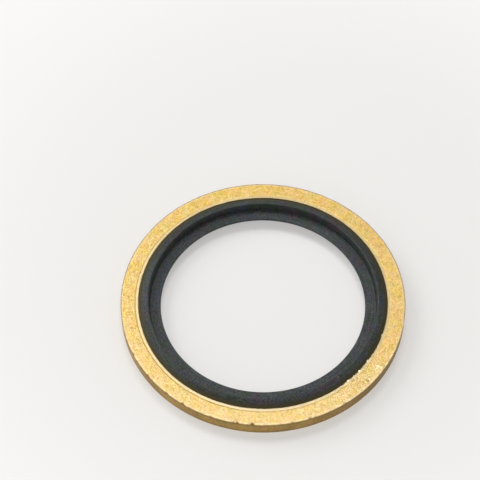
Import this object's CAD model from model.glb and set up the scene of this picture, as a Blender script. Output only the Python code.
from math import cos, pi, radians, sin, tan

import bpy
from mathutils import Matrix, Vector, kdtree


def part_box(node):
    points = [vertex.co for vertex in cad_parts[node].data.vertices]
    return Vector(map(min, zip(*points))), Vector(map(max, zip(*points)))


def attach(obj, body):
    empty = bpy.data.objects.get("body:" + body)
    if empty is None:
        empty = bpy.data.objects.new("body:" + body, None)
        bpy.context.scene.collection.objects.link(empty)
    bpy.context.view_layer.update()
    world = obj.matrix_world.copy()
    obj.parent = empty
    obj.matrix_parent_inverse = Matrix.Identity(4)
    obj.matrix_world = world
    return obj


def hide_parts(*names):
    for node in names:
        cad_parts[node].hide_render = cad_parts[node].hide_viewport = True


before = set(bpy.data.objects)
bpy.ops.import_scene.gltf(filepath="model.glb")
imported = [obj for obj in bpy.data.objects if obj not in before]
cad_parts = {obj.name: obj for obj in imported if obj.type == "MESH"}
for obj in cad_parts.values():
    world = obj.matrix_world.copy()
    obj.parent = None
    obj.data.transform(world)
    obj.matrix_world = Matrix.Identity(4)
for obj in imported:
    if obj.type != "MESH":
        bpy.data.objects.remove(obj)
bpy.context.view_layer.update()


# The view: a long lens looks down on the washer from in front, a little to its left,
# with the washer right of the middle of the frame and low in it.
MM = 0.001
scene = bpy.context.scene
scene.view_settings.view_transform = "Standard"

ring_low, ring_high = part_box("metal_ring")
rim_radius = ring_high.x
frame_px = 480
focal_px = 1744.5
sensor_mm = 36
nearest_seen = 10 * MM
view_elevation = radians(55.62)
view_roll = radians(0.37)
view_distance = 12.25 * rim_radius
washer_right = 0.161 * rim_radius  # from the middle of the frame to the upper face's centre
washer_up = -0.415 * rim_radius

level_right = Vector((1, 0, 0))
level_up = Vector((0, sin(view_elevation), cos(view_elevation)))
view_back = Vector((0, -cos(view_elevation), sin(view_elevation)))
view_right = cos(view_roll) * level_right - sin(view_roll) * level_up
view_up = sin(view_roll) * level_right + cos(view_roll) * level_up

camera = bpy.data.objects.new("camera", bpy.data.cameras.new("camera"))
scene.collection.objects.link(camera)
camera.data.sensor_width = sensor_mm
camera.data.lens = sensor_mm * focal_px / frame_px
camera.data.clip_start = nearest_seen
face_centre = Vector((0, 0, ring_high.z))
camera_place = (
    face_centre + view_distance * view_back
    - washer_right * view_right - washer_up * view_up
)
camera.matrix_world = Matrix.Translation(camera_place) @ Matrix(
    (view_right, view_up, view_back)
).transposed().to_4x4()
scene.camera = camera


# Metal ring: blanked from steel strip, so its upper edge keeps a burr and its rim is sheared,
# then zinc plated with a yellow passivate. The rubber mould's sealing edge presses a V-groove
# round the bore of each face, and leaves a pale rubbed land between the groove and the bore.
seal_low, seal_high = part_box("sealing_ring")
mid_height = seal_high.z / 2
bead_half = (seal_high.z - seal_low.z) / 2
steel_half = (ring_high.z - ring_low.z) / 2
steel_bore = seal_high.x
bore_round = 0.02 * MM
groove_root = steel_bore + 0.33 * MM
groove_edge = steel_bore + 0.47 * MM
groove_depth = 0.035 * MM
face_end = rim_radius - 0.3 * MM  # from here out the face falls a little to the burr
burr_width = 0.02 * MM
burr_fall = 0.005 * MM
burr_depth = 0.05 * MM
die_roll = 0.16 * MM  # how far in the blanking die rounds the lower edge
roll_waist = (0.3 * die_roll, 0.4 * die_roll)  # a place on that rounding, in and up
roll_height = 1.2 * die_roll
ring_steps = 840


def node(tree, kind, inputs=None, **settings):
    """A new node with its settings made and its inputs set from values or from sockets."""
    made = tree.nodes.new(kind)
    for name, value in settings.items():
        setattr(made, name, value)
    for name, value in (inputs or {}).items():
        if isinstance(value, bpy.types.NodeSocket):
            tree.links.new(value, made.inputs[name])
        else:
            made.inputs[name].default_value = value
    return made


def number(tree, operation, *values):
    """The output of a math node on two numbers or sockets."""
    return node(tree, "ShaderNodeMath", dict(enumerate(values)), operation=operation).outputs[0]


def plus(tree, start, value, share):
    """Start plus a share of the value."""
    return number(tree, "ADD", start, number(tree, "MULTIPLY", value, share))


def vector(tree, operation, *values, **named):
    """The output of a vector math node."""
    inputs = dict(enumerate(values))
    inputs.update(named)
    made = node(tree, "ShaderNodeVectorMath", inputs, operation=operation)
    return made.outputs["Value" if operation == "LENGTH" else "Vector"]


def split(tree, place):
    """The X, Y and Z of a place."""
    return node(tree, "ShaderNodeSeparateXYZ", {"Vector": place}).outputs


def flat(tree, place):
    """A place with its height left out."""
    return vector(tree, "MULTIPLY", place, (1, 1, 0))


def ramp(tree, value, none, full):
    """0 at none, 1 at full and a smooth step between; none may be the larger."""
    step = node(tree, "ShaderNodeMapRange", {
        "Value": value,
        "From Min": none,
        "From Max": full,
    }, interpolation_type="SMOOTHSTEP")
    return step.outputs["Result"]


def new_group(name, kind, inputs, outputs):
    """A node group with the named sockets, its own inputs, and its output node."""
    tree = bpy.data.node_groups.new(name, kind)
    for label, socket in inputs.items():
        tree.interface.new_socket(label, in_out="INPUT", socket_type="NodeSocket" + socket)
    for label, socket in outputs.items():
        tree.interface.new_socket(label, in_out="OUTPUT", socket_type="NodeSocket" + socket)
    given = tree.nodes.new("NodeGroupInput").outputs
    return tree, given, tree.nodes.new("NodeGroupOutput")


def sweep_group():
    """Geometry nodes that sweep a closed outline round the bore and wear its edges."""
    tree, given, made = new_group("ring_sweep", "GeometryNodeTree", {
        "Outline": "Geometry",
        "Steps": "Int",
        "Sweep Radius": "Float",
        "Wear Depth": "Float",
        "Wear Size": "Float",
        "Seed": "Float",
        "Material": "Material",
    }, {"Ring": "Geometry"})
    outline = node(tree, "GeometryNodeMeshToCurve", {"Mesh": given["Outline"]})
    path = node(tree, "GeometryNodeCurvePrimitiveCircle", {
        "Resolution": given["Steps"],
        "Radius": given["Sweep Radius"],
    })
    level = node(tree, "GeometryNodeSetCurveNormal", {
        "Curve": path.outputs["Curve"],
    }, mode="Z_UP")
    sweep = node(tree, "GeometryNodeCurveToMesh", {
        "Curve": level.outputs["Curve"],
        "Profile Curve": outline.outputs["Curve"],
    })
    noise = node(tree, "ShaderNodeTexNoise", {
        "Vector": node(tree, "GeometryNodeInputPosition").outputs["Position"],
        "W": given["Seed"],
        "Scale": number(tree, "DIVIDE", 1, given["Wear Size"]),
        "Detail": 3,
    }, noise_dimensions="4D")
    middle_colour = (0.5, 0.5, 0.5)
    push = vector(tree, "SUBTRACT", noise.outputs["Color"], middle_colour)
    wear = node(tree, "GeometryNodeInputNamedAttribute", {"Name": "wear"}, data_type="FLOAT")
    depth = number(tree, "MULTIPLY", wear.outputs["Attribute"], given["Wear Depth"])
    worn = node(tree, "GeometryNodeSetPosition", {
        "Geometry": sweep.outputs["Mesh"],
        "Offset": vector(tree, "SCALE", push, Scale=depth),
    })
    smooth = node(tree, "GeometryNodeSetShadeSmooth", {"Geometry": worn.outputs["Geometry"]})
    real = node(tree, "GeometryNodeRealizeInstances", {"Geometry": smooth.outputs["Geometry"]})
    finish = node(tree, "GeometryNodeSetMaterial", {
        "Geometry": real.outputs["Geometry"],
        "Material": given["Material"],
    })
    tree.links.new(finish.outputs["Geometry"], made.inputs["Ring"])
    return tree


ring_sweep = sweep_group()


def rounded_outline(corners, arc_steps=3, hold=0.02 * MM, stride=0.2 * MM):
    """Points along corners given as (radius, height, rounding, wear).

    Each rounded corner becomes a short arc, and long runs are divided, with a point a hold
    away from each end and others a stride apart. Wear goes from 0 on a sound stretch to 1
    on a worn edge, and comes out as each point's third number.
    """
    outline = [(Vector(corners[0][:2]), corners[0][3])]
    for before, corner, after in zip(corners, corners[1:], corners[2:]):
        spot = Vector(corner[:2])
        back = (Vector(before[:2]) - spot).normalized()
        ahead = (Vector(after[:2]) - spot).normalized()
        reach = corner[2] / tan(back.angle(ahead) / 2)
        for step in range(arc_steps + 1):
            t = step / arc_steps
            place = (
                (1 - t) ** 2 * (spot + back * reach)
                + 2 * t * (1 - t) * spot
                + t ** 2 * (spot + ahead * reach)
            )
            outline.append((place, corner[3]))
    outline.append((Vector(corners[-1][:2]), corners[-1][3]))
    shortest_divided = 3 * hold
    filled = [outline[0]]
    for (start, wear), (end, next_wear) in zip(outline, outline[1:]):
        length = (end - start).length
        if length > shortest_divided:
            runs = max(1, round(length / stride))
            marks = [hold / length] + [n / runs for n in range(1, runs)] + [1 - hold / length]
            filled += [(start.lerp(end, t), wear + t * (next_wear - wear)) for t in marks]
        filled.append((end, next_wear))
    return [(place.x, place.y, wear) for place, wear in filled]


def both_faces(upper, under=None):
    """The closed outline made of the upper half and the under half, both given as if upper.

    Without an under half, the outline is its own mirror image in the mid-plane.
    """
    lower = [(radius, -height, wear) for radius, height, wear in reversed(under or upper)]
    return upper[1:-1] + lower


def swept_ring(name, outline, sweep_radius, wear_depth, wear_size, seed, material):
    """A ring as a plain mesh, swept from its closed outline of (radius, height, wear).

    The sweep lays an outline upside down, so its heights go in negated.
    """
    count = len(outline)
    mesh = bpy.data.meshes.new(name)
    places = [(radius - sweep_radius, -height, 0) for radius, height, _ in outline]
    mesh.from_pydata(places, [(n, (n + 1) % count) for n in range(count)], [])
    mesh.attributes.new("wear", "FLOAT", "POINT").data.foreach_set(
        "value", [share for _, _, share in outline]
    )
    ring = bpy.data.objects.new(name, mesh)
    scene.collection.objects.link(ring)
    sweep = ring.modifiers.new("sweep", "NODES")
    sweep.node_group = ring_sweep
    values = {
        "Steps": ring_steps,
        "Sweep Radius": sweep_radius,
        "Wear Depth": wear_depth,
        "Wear Size": wear_size,
        "Seed": seed,
        "Material": material,
    }
    for item in ring_sweep.interface.items_tree:
        if item.in_out == "INPUT" and item.name in values:
            sweep[item.identifier] = values[item.name]
    evaluated = ring.evaluated_get(bpy.context.evaluated_depsgraph_get())
    swept = bpy.data.meshes.new_from_object(evaluated)
    ring.modifiers.clear()
    ring.data = swept
    swept.name = name
    swept.transform(Matrix.Translation((0, 0, mid_height)))
    swept.attributes.new("pitted", "FLOAT", "POINT")
    return ring


def knock(mesh, height, knocks):
    """Push the surface round each spot, and mark how far it is worn bright or pitted dark.

    Knocks are in degrees and millimetres, and all lie at one height above the mid-plane.
    One that is worn past 1 is bare over more of its reach.
    """
    spots = kdtree.KDTree(len(mesh.vertices))
    for vertex in mesh.vertices:
        spots.insert(vertex.co, vertex.index)
    spots.balance()
    wear = mesh.attributes["wear"].data
    pits = mesh.attributes["pitted"].data
    up = Vector((0, 0, 1))
    for angle, radius, reach, push_out, push_up, worn, pitted in knocks:
        out = Vector((cos(radians(angle)), sin(radians(angle)), 0))
        spot = out * radius * MM + up * (height + mid_height)
        for _, index, distance in spots.find_range(spot, reach * MM):
            share = (1 - (distance / (reach * MM)) ** 2) ** 2
            mesh.vertices[index].co += share * MM * (push_out * out + push_up * up)
            wear[index].value = max(wear[index].value, share * worn)
            pits[index].value = max(pits[index].value, share * pitted)


def keep_inside(mesh, most_radius, most_half):
    """Draw in any point that wear has pushed past the washer's own size."""
    for vertex in mesh.vertices:
        out = Vector((vertex.co.x, vertex.co.y, 0))
        if out.length > most_radius:
            out *= most_radius / out.length
        lift = max(-most_half, min(most_half, vertex.co.z - mid_height))
        vertex.co = out + Vector((0, 0, mid_height + lift))


def round_the_axis_group():
    """How far a point is from the axis and from the mid-plane, in millimetres."""
    tree, given, made = new_group("round_the_axis", "ShaderNodeTree", {
        "Place": "Vector",
        "Mid Height": "Float",
    }, {"Radius": "Float", "Height": "Float"})
    radius = vector(tree, "LENGTH", flat(tree, given["Place"]))
    lift = number(tree, "SUBTRACT", split(tree, given["Place"])["Z"], given["Mid Height"])
    height = number(tree, "ABSOLUTE", lift)
    tree.links.new(number(tree, "DIVIDE", radius, MM), made.inputs["Radius"])
    tree.links.new(number(tree, "DIVIDE", height, MM), made.inputs["Height"])
    return tree


def grain_group():
    """An even fine grain, centred on nought and mostly within half above and below."""
    tree, given, made = new_group("grain", "ShaderNodeTree", {
        "Place": "Vector",
        "Size": "Float",
        "Seed": "Float",
    }, {"Value": "Float"})
    noise = node(tree, "ShaderNodeTexNoise", {
        "Vector": given["Place"],
        "W": given["Seed"],
        "Scale": number(tree, "DIVIDE", 1, given["Size"]),
        "Detail": 2,
        "Roughness": 0.7,
    }, noise_dimensions="4D")
    middle, spread = 0.5, 2
    centred = number(tree, "SUBTRACT", noise.outputs["Fac"], middle)
    tree.links.new(number(tree, "MULTIPLY", centred, spread), made.inputs["Value"])
    return tree


def patches_group():
    """A mask of soft patches: Share is how much of the surface they cover."""
    tree, given, made = new_group("patches", "ShaderNodeTree", {
        "Place": "Vector",
        "Size": "Float",
        "Share": "Float",
        "Softness": "Float",
        "Seed": "Float",
    }, {"Mask": "Float"})
    noise = node(tree, "ShaderNodeTexNoise", {
        "Vector": given["Place"],
        "W": given["Seed"],
        "Scale": number(tree, "DIVIDE", 1, given["Size"]),
        "Detail": 2,
        "Roughness": 0.4,
    }, noise_dimensions="4D")
    lowest, highest = 0.25, 0.75  # where nearly all of the noise lies
    level = number(tree, "SUBTRACT", highest, number(
        tree, "MULTIPLY", given["Share"], highest - lowest
    ))
    mask = ramp(
        tree, noise.outputs["Fac"],
        number(tree, "SUBTRACT", level, given["Softness"]),
        number(tree, "ADD", level, given["Softness"]),
    )
    tree.links.new(mask, made.inputs["Mask"])
    return tree


def specks_group():
    """A mask of scattered round specks: Size and Share are parts of 1."""
    tree, given, made = new_group("specks", "ShaderNodeTree", {
        "Place": "Vector",
        "Spacing": "Float",
        "Size": "Float",
        "Share": "Float",
    }, {"Mask": "Float"})
    cells = node(tree, "ShaderNodeTexVoronoi", {
        "Vector": given["Place"],
        "Scale": number(tree, "DIVIDE", 1, given["Spacing"]),
    })
    draw = node(tree, "ShaderNodeSeparateColor", {"Color": cells.outputs["Color"]}).outputs
    smallest = 0.4  # as a share of the largest
    solid = 0.4  # of a speck's radius
    size = plus(tree, smallest, draw["Green"], 1 - smallest)
    size = number(tree, "MULTIPLY", given["Size"], size)
    spot = ramp(tree, cells.outputs["Distance"], size, number(tree, "MULTIPLY", size, solid))
    picked = number(tree, "LESS_THAN", draw["Red"], given["Share"])
    tree.links.new(number(tree, "MULTIPLY", spot, picked), made.inputs["Mask"])
    return tree


def edge_wear_group():
    """A ragged mask along edges, from the wear that the outline carries."""
    tree, given, made = new_group("edge_wear", "ShaderNodeTree", {
        "Place": "Vector",
        "Size": "Float",
        "Amount": "Float",
    }, {"Mask": "Float"})
    wear = node(tree, "ShaderNodeAttribute", attribute_name="wear").outputs["Fac"]
    noise = node(tree, "ShaderNodeTexNoise", {
        "Vector": given["Place"],
        "Scale": number(tree, "DIVIDE", 1, given["Size"]),
        "Detail": 3,
        "Roughness": 0.65,
    })
    unworn, bare = 0.8, 1.05
    ragged_wear = plus(tree, noise.outputs["Fac"], wear, given["Amount"])
    tree.links.new(ramp(tree, ragged_wear, unworn, bare), made.inputs["Mask"])
    return tree


round_the_axis = round_the_axis_group()
grain = grain_group()
patches = patches_group()
specks = specks_group()
edge_wear = edge_wear_group()


def new_material(name):
    """An empty Principled material: its tree, its shader and its Object coordinates."""
    material = bpy.data.materials.new(name)
    material.use_nodes = True
    tree = material.node_tree
    place = node(tree, "ShaderNodeTexCoord").outputs["Object"]
    return material, tree, tree.nodes["Principled BSDF"], place


def effect(tree, group, **inputs):
    """The outputs of a shared node group; an input's spaces are written as underscores."""
    named = {name.replace("_", " "): value for name, value in inputs.items()}
    return node(tree, "ShaderNodeGroup", named, node_tree=group).outputs


MIX_SHARE, MIX_UNDER, MIX_OVER = 0, 6, 7  # a colour Mix node's own inputs
MIX_RESULT = 2


def blend(tree, mask, colour, over, mode="MIX"):
    """Colour with another one over it where the mask is."""
    inputs = {MIX_SHARE: mask}
    for index, value in ((MIX_UNDER, colour), (MIX_OVER, over)):
        inputs[index] = value if isinstance(value, bpy.types.NodeSocket) else (*value, 1)
    mix = node(tree, "ShaderNodeMix", inputs, data_type="RGBA", blend_type=mode)
    return mix.outputs[MIX_RESULT]


def layered(tree, colour, layers):
    """Colour under its layers, each given as (mask, strength, colour)."""
    for mask, strength, over in layers:
        colour = blend(tree, number(tree, "MULTIPLY", mask, strength), colour, over)
    return colour


def patched(tree, place, colour, softness, kinds):
    """Colour with soft patches on it, given as (colour, strength, size, share, seed)."""
    for over, strength, size, share, seed in kinds:
        mask = effect(
            tree, patches, Place=place, Size=size, Share=share, Softness=softness, Seed=seed
        )["Mask"]
        colour = layered(tree, colour, [(mask, strength, over)])
    return colour


def shaded(tree, colour, shade):
    """Colour times a shade, which is 1 where nothing changes."""
    grey = node(tree, "ShaderNodeCombineXYZ", {"X": shade, "Y": shade, "Z": shade})
    return blend(tree, 1, colour, grey.outputs["Vector"], mode="MULTIPLY")


gold = (0.72, 0.50, 0.135)
gold_rich = (0.73, 0.49, 0.065)
gold_pale = (0.76, 0.56, 0.25)
gold_rose = (0.77, 0.475, 0.17)
gold_green = (0.65, 0.53, 0.145)
gold_shade = (0.51, 0.295, 0.053)
gold_light = (0.97, 0.735, 0.285)
gold_pit = (0.32, 0.16, 0.035)
groove_dark = (0.26, 0.19, 0.07)
land_pale = (0.80, 0.65, 0.36)
burr_pale = (0.86, 0.77, 0.52)
edge_brown = (0.36, 0.23, 0.11)
sheared_brown = (0.515, 0.335, 0.105)
sheared_red = (0.485, 0.28, 0.12)
sheared_green = (0.435, 0.335, 0.095)
sheared_dark = (0.23, 0.145, 0.039)

plated_steel, tree, shader, place = new_material("plated_steel")
axis = effect(tree, round_the_axis, Place=place, Mid_Height=mid_height)
radius, height = axis["Radius"], axis["Height"]
side = split(tree, place)
squeeze = 0.55
upright = vector(tree, "MULTIPLY", place, (1, 1, squeeze))  # draws a pattern out up the rim
sand = effect(tree, grain, Place=place, Size=0.17 * MM, Seed=1.0)["Value"]
fine = effect(tree, grain, Place=place, Size=0.07 * MM, Seed=2.0)["Value"]
coarse = effect(tree, grain, Place=place, Size=0.45 * MM, Seed=11.0)["Value"]
striae = effect(tree, grain, Place=upright, Size=0.35 * MM, Seed=12.0)["Value"]
pinholes = effect(tree, specks, Place=place, Spacing=0.6 * MM, Size=0.2, Share=0.1)["Mask"]
worn = effect(tree, edge_wear, Place=place, Size=0.25 * MM, Amount=0.3)["Mask"]
dented = node(tree, "ShaderNodeAttribute", attribute_name="pitted").outputs["Fac"]

# Where each tone of the plating begins, and where it is full. Radii and heights from the
# mid-plane are in millimetres, as the axis group gives them.
bore_mm, rim_mm = steel_bore / MM, rim_radius / MM
groove_mm, half_mm = groove_root / MM, steel_half / MM
land_ends = (groove_mm + 0.07, groove_mm - 0.04)
groove_inside = (groove_mm - 0.03, groove_mm)
groove_outside = (groove_mm + 0.06, groove_mm + 0.02)
bond_stain_ends = (bore_mm + 0.11, bore_mm - 0.02)
rubbed_ends = (rim_mm - 0.40, rim_mm - 0.15)
edge_stain_ends = (rim_mm - 0.17, rim_mm - 0.09)
rim_outside = (rim_mm - 0.4, rim_mm - 0.3)
rim_below = (half_mm - 0.06, half_mm - 0.16)
torn_ends = (0.35, 0.95)
grain_shade_ends = (0, -0.40)  # levels of the speckle
grain_light_ends = (0.05, 0.40)
far_side_ends = (-8 * MM, -1 * MM)  # places across the washer, in metres
tarnish_ends = (4 * MM, 15 * MM)
ragged = 0.06  # how far a grain moves the edge of a tone, in millimetres
ragged_rim = 0.25
coarse_speckle = 0.5

ragged_radius = plus(tree, radius, coarse, ragged)
ragged_height = plus(tree, height, striae, ragged_rim)
speckle = plus(tree, sand, coarse, coarse_speckle)
on_land = ramp(tree, radius, *land_ends)
in_groove = number(
    tree, "MULTIPLY", ramp(tree, radius, *groove_inside), ramp(tree, radius, *groove_outside)
)
on_rim = number(
    tree, "MULTIPLY", ramp(tree, height, *rim_below), ramp(tree, radius, *rim_outside)
)
edge_stain = number(
    tree, "MULTIPLY",
    ramp(tree, ragged_radius, *edge_stain_ends), ramp(tree, side["Y"], *far_side_ends),
)

striae_shade = 0.55
rim_colour = patched(tree, upright, sheared_brown, softness=0.08, kinds=[
    # colour, strength, size, share, seed
    (sheared_red, 1, 0.8 * MM, 0.4, 5.0),
    (sheared_green, 1, 0.7 * MM, 0.35, 7.0),
])
rim_colour = patched(tree, place, rim_colour, softness=0.12, kinds=[
    (sheared_dark, 0.35, 3.5 * MM, 0.5, 23.0),
])
rim_colour = layered(tree, rim_colour, [
    # mask, strength, colour
    (ramp(tree, ragged_height, *torn_ends), 0.65, sheared_dark),
    (ramp(tree, side["X"], *tarnish_ends), 0.6, sheared_dark),
])
rim_colour = shaded(tree, rim_colour, plus(tree, 1, striae, striae_shade))

colour = patched(tree, place, gold, softness=0.07, kinds=[
    # colour, strength, size, share, seed
    (gold_rich, 0.8, 1.2 * MM, 0.5, 15.0),
    (gold_pale, 0.8, 1.0 * MM, 0.4, 17.0),
    (gold_rose, 0.7, 1.0 * MM, 0.45, 3.0),
    (gold_green, 0.55, 0.9 * MM, 0.42, 9.0),
])
colour = layered(tree, colour, [
    # mask, strength, colour
    (ramp(tree, speckle, *grain_shade_ends), 0.9, gold_shade),
    (ramp(tree, speckle, *grain_light_ends), 0.9, gold_light),
    (pinholes, 0.6, gold_pit),
    (on_land, 0.85, land_pale),
    (in_groove, 0.25, groove_dark),
    (ramp(tree, ragged_radius, *bond_stain_ends), 0.6, groove_dark),
    (ramp(tree, ragged_radius, *rubbed_ends), 0.3, burr_pale),
    (edge_stain, 0.9, edge_brown),
    (on_rim, 1, rim_colour),
    (dented, 0.7, gold_pit),
    (worn, 0.8, burr_pale),
])
tree.links.new(colour, shader.inputs["Base Color"])

plating_roughness = 0.54
grain_roughness = 0.15
land_roughness = 0.05
worn_roughness = -0.2
rough = plus(tree, plating_roughness, sand, grain_roughness)
rough = plus(tree, rough, on_land, land_roughness)
rough = plus(tree, rough, worn, worn_roughness)
tree.links.new(rough, shader.inputs["Roughness"])
shader.inputs["Metallic"].default_value = 1
passivate_coat = 0.7  # it lies on the faces and is thin on the rim
coat = number(tree, "MULTIPLY", number(tree, "SUBTRACT", 1, on_rim), passivate_coat)
tree.links.new(coat, shader.inputs["Coat Weight"])
shader.inputs["Coat Roughness"].default_value = 0.27
shader.inputs["Coat IOR"].default_value = 1.5

fine_relief = 0.4
coarse_relief = 0.7
land_relief = -0.2
relief = plus(tree, sand, fine, fine_relief)
relief = plus(tree, relief, coarse, coarse_relief)
relief = number(tree, "MULTIPLY", relief, plus(tree, 1, on_land, land_relief))
bump = node(tree, "ShaderNodeBump", {
    "Height": relief,
    "Strength": 0.8,
    "Distance": 0.030 * MM,
})
tree.links.new(bump.outputs["Normal"], shader.inputs["Normal"])

# The upper half of the section keeps the burr, and the lower half has the rolled edge.
rim_foot = (rim_radius, 0, 0, 0.08)
burred_corners = [
    # radius, height, rounding, wear
    (steel_bore, 0, 0, 0),
    (steel_bore, steel_half, bore_round, 0.3),
    (groove_root, steel_half - groove_depth, 0.02 * MM, 0),
    (groove_edge, steel_half, 0.03 * MM, 0.05),
    (face_end, steel_half, 0.05 * MM, 0.1),
    (rim_radius - burr_width, steel_half - burr_fall, 0.01 * MM, 0.35),
    (rim_radius, steel_half - burr_depth, 0.02 * MM, 0.25),
    rim_foot,
]
rolled_corners = burred_corners[:4] + [
    (rim_radius - die_roll, steel_half, 0.04 * MM, 0.05),
    (rim_radius - roll_waist[0], steel_half - roll_waist[1], 0.04 * MM, 0.1),
    (rim_radius, steel_half - roll_height, 0.05 * MM, 0.2),
    rim_foot,
]
metal_ring = swept_ring(
    "plated_ring",
    both_faces(rounded_outline(burred_corners), rounded_outline(rolled_corners)),
    sweep_radius=16.4 * MM,
    wear_depth=0.3 * MM,
    wear_size=0.5 * MM,
    seed=3.0,
    material=plated_steel,
)
scallop_mm = 15.32
knock(metal_ring.data, steel_half, [
    # angle, radius, reach, push out, push up, worn, pitted
    # scallops along the bore
    (309.0, scallop_mm, 0.26, -0.08, 0, 0.5, 0),
    (310.8, scallop_mm, 0.30, -0.13, 0, 3, 0),
    (312.5, scallop_mm, 0.24, -0.08, 0, 0.5, 0),
    (314.3, scallop_mm, 0.26, -0.11, 0, 1, 0),
    (316.1, scallop_mm, 0.24, -0.08, 0, 0.5, 0),
    (317.9, scallop_mm, 0.30, -0.13, 0, 3, 0),
    (319.5, scallop_mm, 0.24, -0.08, 0, 0.5, 0),
    (321.2, scallop_mm, 0.26, -0.11, 0, 1, 0),
    (322.8, scallop_mm, 0.24, -0.08, 0, 0.5, 0),
    (324.5, scallop_mm, 0.32, -0.14, 0, 3, 0),
    (326.3, scallop_mm, 0.24, -0.07, 0, 0.5, 0),
    (328.1, scallop_mm, 0.26, -0.09, 0, 0.8, 0),
    (339.8, 15.33, 0.26, -0.08, 0, 2.5, 0),
    # notches and bright specks along the burr
    (344.6, 17.30, 0.26, 0, 0, 2.5, 0),
    (303.2, rim_mm, 0.24, -0.05, -0.03, 0, 0.5),
    (296.4, rim_mm, 0.20, -0.04, -0.02, 0, 0.4),
    (290.0, rim_mm, 0.22, -0.06, -0.03, 0, 0.6),
    (287.8, rim_mm, 0.28, -0.10, -0.06, 0, 0.8),
    (284.4, rim_mm, 0.20, 0, 0, 1.2, 0),
    (280.9, rim_mm, 0.24, -0.08, -0.04, 0, 0.7),
    (276.3, rim_mm, 0.22, -0.06, -0.03, 0, 0.6),
    (270.3, rim_mm, 0.20, -0.05, -0.03, 0, 0.4),
    (265.2, rim_mm, 0.36, -0.20, -0.10, 0, 0.8),
    (262.6, rim_mm, 0.30, 0.02, 0, 1.2, 0),
    (259.3, rim_mm, 0.30, -0.16, -0.08, 0, 0.6),
    (257.7, rim_mm, 0.24, -0.08, -0.04, 0, 0.6),
    (248.8, rim_mm, 0.24, -0.07, -0.04, 0, 0.6),
    (246.9, rim_mm, 0.22, 0, 0, 1.2, 0),
    (238.4, rim_mm, 0.24, 0, 0, 1.4, 0),
    (236.3, rim_mm, 0.32, -0.12, -0.06, 0, 0.7),
    (228.5, rim_mm, 0.28, -0.07, -0.06, 0, 0.5),
    (217.5, rim_mm, 0.32, -0.07, -0.08, 0, 0.6),
    (206.0, rim_mm, 0.30, -0.06, -0.05, 0.8, 0),
    # pits in the face, and a wide scuff
    (317.0, 16.90, 0.28, 0, -0.05, 0, 1.4),
    (315.3, 16.64, 0.22, 0, -0.03, 0, 1.0),
    (178.0, 16.50, 0.22, 0, -0.04, 0, 0.8),
    (120.0, 16.20, 0.26, 0, -0.04, 0, 0.7),
    (324.2, 16.80, 1.30, 0, 0, 1.45, 0),
])
keep_inside(metal_ring.data, rim_radius, bead_half)
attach(metal_ring, "root")
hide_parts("metal_ring")


# Sealing ring: black nitrile rubber, moulded in the steel's bore and bonded there with a
# brown adhesive. A bead stands proud of each face, with a steep inner wall and a slope down
# to the bond. The thin lip at mid-height centres the washer on its thread.
lip_bore = 12.6 * MM
lip_half = 0.18 * MM
wall_foot = 13.95 * MM
crest_inner = 14.06 * MM
crest_outer = 14.24 * MM
slope_middle = 14.80 * MM
slope_rise = 0.25 * MM  # from the slope's foot to its middle
slope_foot = steel_bore - 0.08 * MM
bead_root = steel_half - 0.03 * MM
bond_top = bead_root - 0.02 * MM
rubber_corners = [
    # radius, height, rounding, wear
    (lip_bore, 0, 0, 0.3),
    (lip_bore, lip_half, 0.06 * MM, 0.4),
    (wall_foot, lip_half, 0.15 * MM, 0),
    (crest_inner, bead_half, 0.10 * MM, 0.1),
    (crest_outer, bead_half, 0.08 * MM, 0.1),
    (slope_middle, bead_root + slope_rise, 0.25 * MM, 0.1),
    (slope_foot, bead_root, 0.03 * MM, 0.1),
    (steel_bore, bond_top, 0.01 * MM, 0.1),
    (steel_bore, 0, 0, 0),
]

rubber = (0.042, 0.047, 0.037)
rubber_lip = (0.049, 0.058, 0.059)
rubber_blue = (0.036, 0.044, 0.064)
rubber_green = (0.030, 0.049, 0.033)
rubber_plum = (0.053, 0.040, 0.048)
rubber_dust = (0.24, 0.22, 0.19)
adhesive_brown = (0.052, 0.040, 0.007)


def streaks_group():
    """Long thin streaks that run round the axis, as the mould's turned faces leave them."""
    tree, given, made = new_group("streaks", "ShaderNodeTree", {
        "Place": "Vector",
        "Turn Length": "Float",
        "Width": "Float",
        "Seed": "Float",
    }, {"Value": "Float"})
    from_axis = flat(tree, given["Place"])
    turns = number(tree, "DIVIDE", rim_radius, given["Turn Length"])
    along = vector(tree, "SCALE", vector(tree, "NORMALIZE", from_axis), Scale=turns)
    height_share = 2  # counts height in, so that an upright wall has streaks too
    across = plus(
        tree, vector(tree, "LENGTH", from_axis), split(tree, given["Place"])["Z"], height_share
    )
    across = number(tree, "DIVIDE", across, given["Width"])
    across = node(tree, "ShaderNodeCombineXYZ", {"Z": across}).outputs["Vector"]
    noise = node(tree, "ShaderNodeTexNoise", {
        "Vector": vector(tree, "ADD", along, across),
        "W": given["Seed"],
        "Scale": 1,
        "Detail": 3,
        "Roughness": 0.6,
    }, noise_dimensions="4D")
    tree.links.new(noise.outputs["Fac"], made.inputs["Value"])
    return tree


streaks = streaks_group()

nitrile_rubber, tree, shader, place = new_material("nitrile_rubber")
radius = effect(tree, round_the_axis, Place=place, Mid_Height=mid_height)["Radius"]
grit = effect(tree, grain, Place=place, Size=0.15 * MM, Seed=4.0)["Value"]
dust = effect(tree, specks, Place=place, Spacing=0.8 * MM, Size=0.14, Share=0.2)["Mask"]
mould_lines = effect(
    tree, streaks, Place=place, Turn_Length=9 * MM, Width=0.12 * MM, Seed=1.0
)["Value"]
middle_line = 0.5  # what a streak is on average

# Where each tone of the rubber begins, and where it is full, in millimetres.
lip_ends = (wall_foot / MM + 0.1, wall_foot / MM - 0.3)
adhesive_ends = (bore_mm - 0.72, bore_mm - 0.20)
ragged_radius = plus(tree, radius, grit, ragged)

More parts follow.
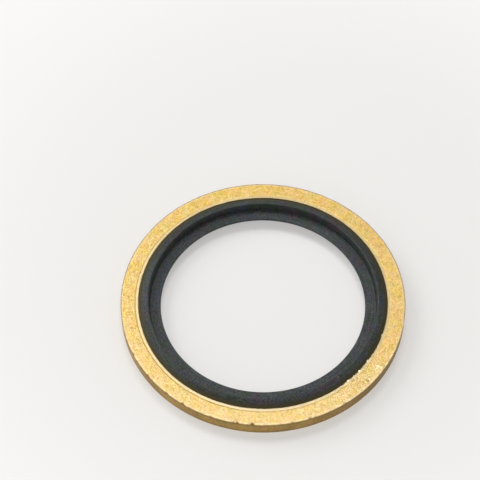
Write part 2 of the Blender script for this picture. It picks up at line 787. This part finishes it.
colour = layered(tree, rubber, [(ramp(tree, radius, *lip_ends), 0.8, rubber_lip)])
colour = patched(tree, place, colour, softness=0.07, kinds=[
    # colour, strength, size, share, seed
    (rubber_blue, 0.8, 1.2 * MM, 0.5, 2.0),
    (rubber_green, 1, 1.0 * MM, 0.4, 6.0),
    (rubber_plum, 1, 1.2 * MM, 0.3, 19.0),
])
grit_shade = 2.4
line_shade = 2.2
shade = plus(tree, 1, grit, grit_shade)
shade = plus(tree, shade, number(tree, "SUBTRACT", mould_lines, middle_line), line_shade)
colour = layered(tree, shaded(tree, colour, shade), [
    # mask, strength, colour
    (ramp(tree, ragged_radius, *adhesive_ends), 0.95, adhesive_brown),
    (dust, 0.6, rubber_dust),
])
tree.links.new(colour, shader.inputs["Base Color"])
rubber_roughness = 0.54
grit_roughness = 0.1
rough = plus(tree, rubber_roughness, grit, grit_roughness)
tree.links.new(rough, shader.inputs["Roughness"])
shader.inputs["Specular IOR Level"].default_value = 0.4
bump = node(tree, "ShaderNodeBump", {
    "Height": number(tree, "ADD", grit, mould_lines),
    "Strength": 0.7,
    "Distance": 0.03 * MM,
})
tree.links.new(bump.outputs["Normal"], shader.inputs["Normal"])

sealing_ring = swept_ring(
    "moulded_seal",
    both_faces(rounded_outline(rubber_corners, stride=0.4 * MM)),
    sweep_radius=14 * MM,
    wear_depth=0.02 * MM,
    wear_size=0.6 * MM,
    seed=8.0,
    material=nitrile_rubber,
)
keep_inside(sealing_ring.data, steel_bore, bead_half)
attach(sealing_ring, "root")
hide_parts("sealing_ring")


# Floor: a sheet of matt white paper that keeps the washer's shadow. To the camera and in
# reflections it also glows a little, less so in a round patch about the washer.
floor_half = 1  # a metre each way
dim_patch = (5 * MM, 12 * MM, 0)  # the middle of the patch
dim_patch_ends = (22 * MM, 62 * MM)
least_glow = 0.40
added_glow = 0.42
paper_white = (0.90, 0.885, 0.86, 1)
glow_white = (1, 0.985, 0.97, 1)

floor_mesh = bpy.data.meshes.new("floor")
floor_mesh.from_pydata([
    (-floor_half, -floor_half, 0),
    (floor_half, -floor_half, 0),
    (floor_half, floor_half, 0),
    (-floor_half, floor_half, 0),
], [], [(0, 1, 2, 3)])
floor = bpy.data.objects.new("floor", floor_mesh)
scene.collection.objects.link(floor)

paper, tree, shader, place = new_material("paper")
shader.inputs["Base Color"].default_value = paper_white
shader.inputs["Roughness"].default_value = 0.8
rays = node(tree, "ShaderNodeLightPath").outputs
seen = number(tree, "MAXIMUM", rays["Is Camera Ray"], number(
    tree, "MAXIMUM", rays["Is Glossy Ray"], rays["Is Transmission Ray"]
))
away = vector(tree, "LENGTH", vector(tree, "SUBTRACT", place, dim_patch))
glow = plus(tree, least_glow, ramp(tree, away, *dim_patch_ends), added_glow)
white = node(tree, "ShaderNodeEmission", {"Color": glow_white, "Strength": 1})
glowing = node(tree, "ShaderNodeMixShader", {
    "Fac": number(tree, "MULTIPLY", seen, glow),
    1: shader.outputs["BSDF"],
    2: white.outputs["Emission"],
})
tree.links.new(glowing.outputs["Shader"], tree.nodes["Material Output"].inputs["Surface"])
floor_mesh.materials.append(paper)


# Lamps: three round softboxes that face the washer. The brightest hangs high behind it, a
# wide one stands behind it on the left, and a weak one fills in from the front left.
lamp_distance = 0.6


def softbox(name, azimuth, elevation, size, radiance):
    """A round soft lamp, with its angles in degrees; radiance 1 looks white."""
    azimuth, elevation = radians(azimuth), radians(elevation)
    aim = Vector((
        cos(azimuth) * cos(elevation),
        sin(azimuth) * cos(elevation),
        sin(elevation),
    ))
    lamp = bpy.data.objects.new(name, bpy.data.lights.new(name, "AREA"))
    scene.collection.objects.link(lamp)
    lamp.data.shape = "DISK"
    lamp.data.size = size
    area = pi * (size / 2) ** 2
    lamp.data.energy = radiance * pi * area
    turn = aim.to_track_quat("Z", "Y").to_matrix().to_4x4()
    lamp.matrix_world = Matrix.Translation(lamp_distance * aim) @ turn


for lamp_values in (
    # name, azimuth, elevation, size, radiance
    ("key", 90, 70, 0.22, 8.5),
    ("side", 142, 40, 0.40, 3.2),
    ("fill", 220, 30, 0.40, 0.8),
):
    softbox(*lamp_values)


# Sky: plain white light from all round, which fills the shadows. It is brighter in a band at
# the horizon and below, so that a low view has a pale background too.
overhead = 0.35
added_at_horizon = 0.46
horizon_ends = (0.075, 0.05)  # heights on a sky of radius 1

sky = bpy.data.worlds.new("sky")
scene.world = sky
sky.use_nodes = True
tree = sky.node_tree
light = tree.nodes["Background"]
light.inputs["Color"].default_value = (1, 1, 1, 1)
direction = node(tree, "ShaderNodeTexCoord").outputs["Generated"]
horizon = ramp(tree, split(tree, direction)["Z"], *horizon_ends)
strength = plus(tree, overhead, horizon, added_at_horizon)
tree.links.new(strength, light.inputs["Strength"])
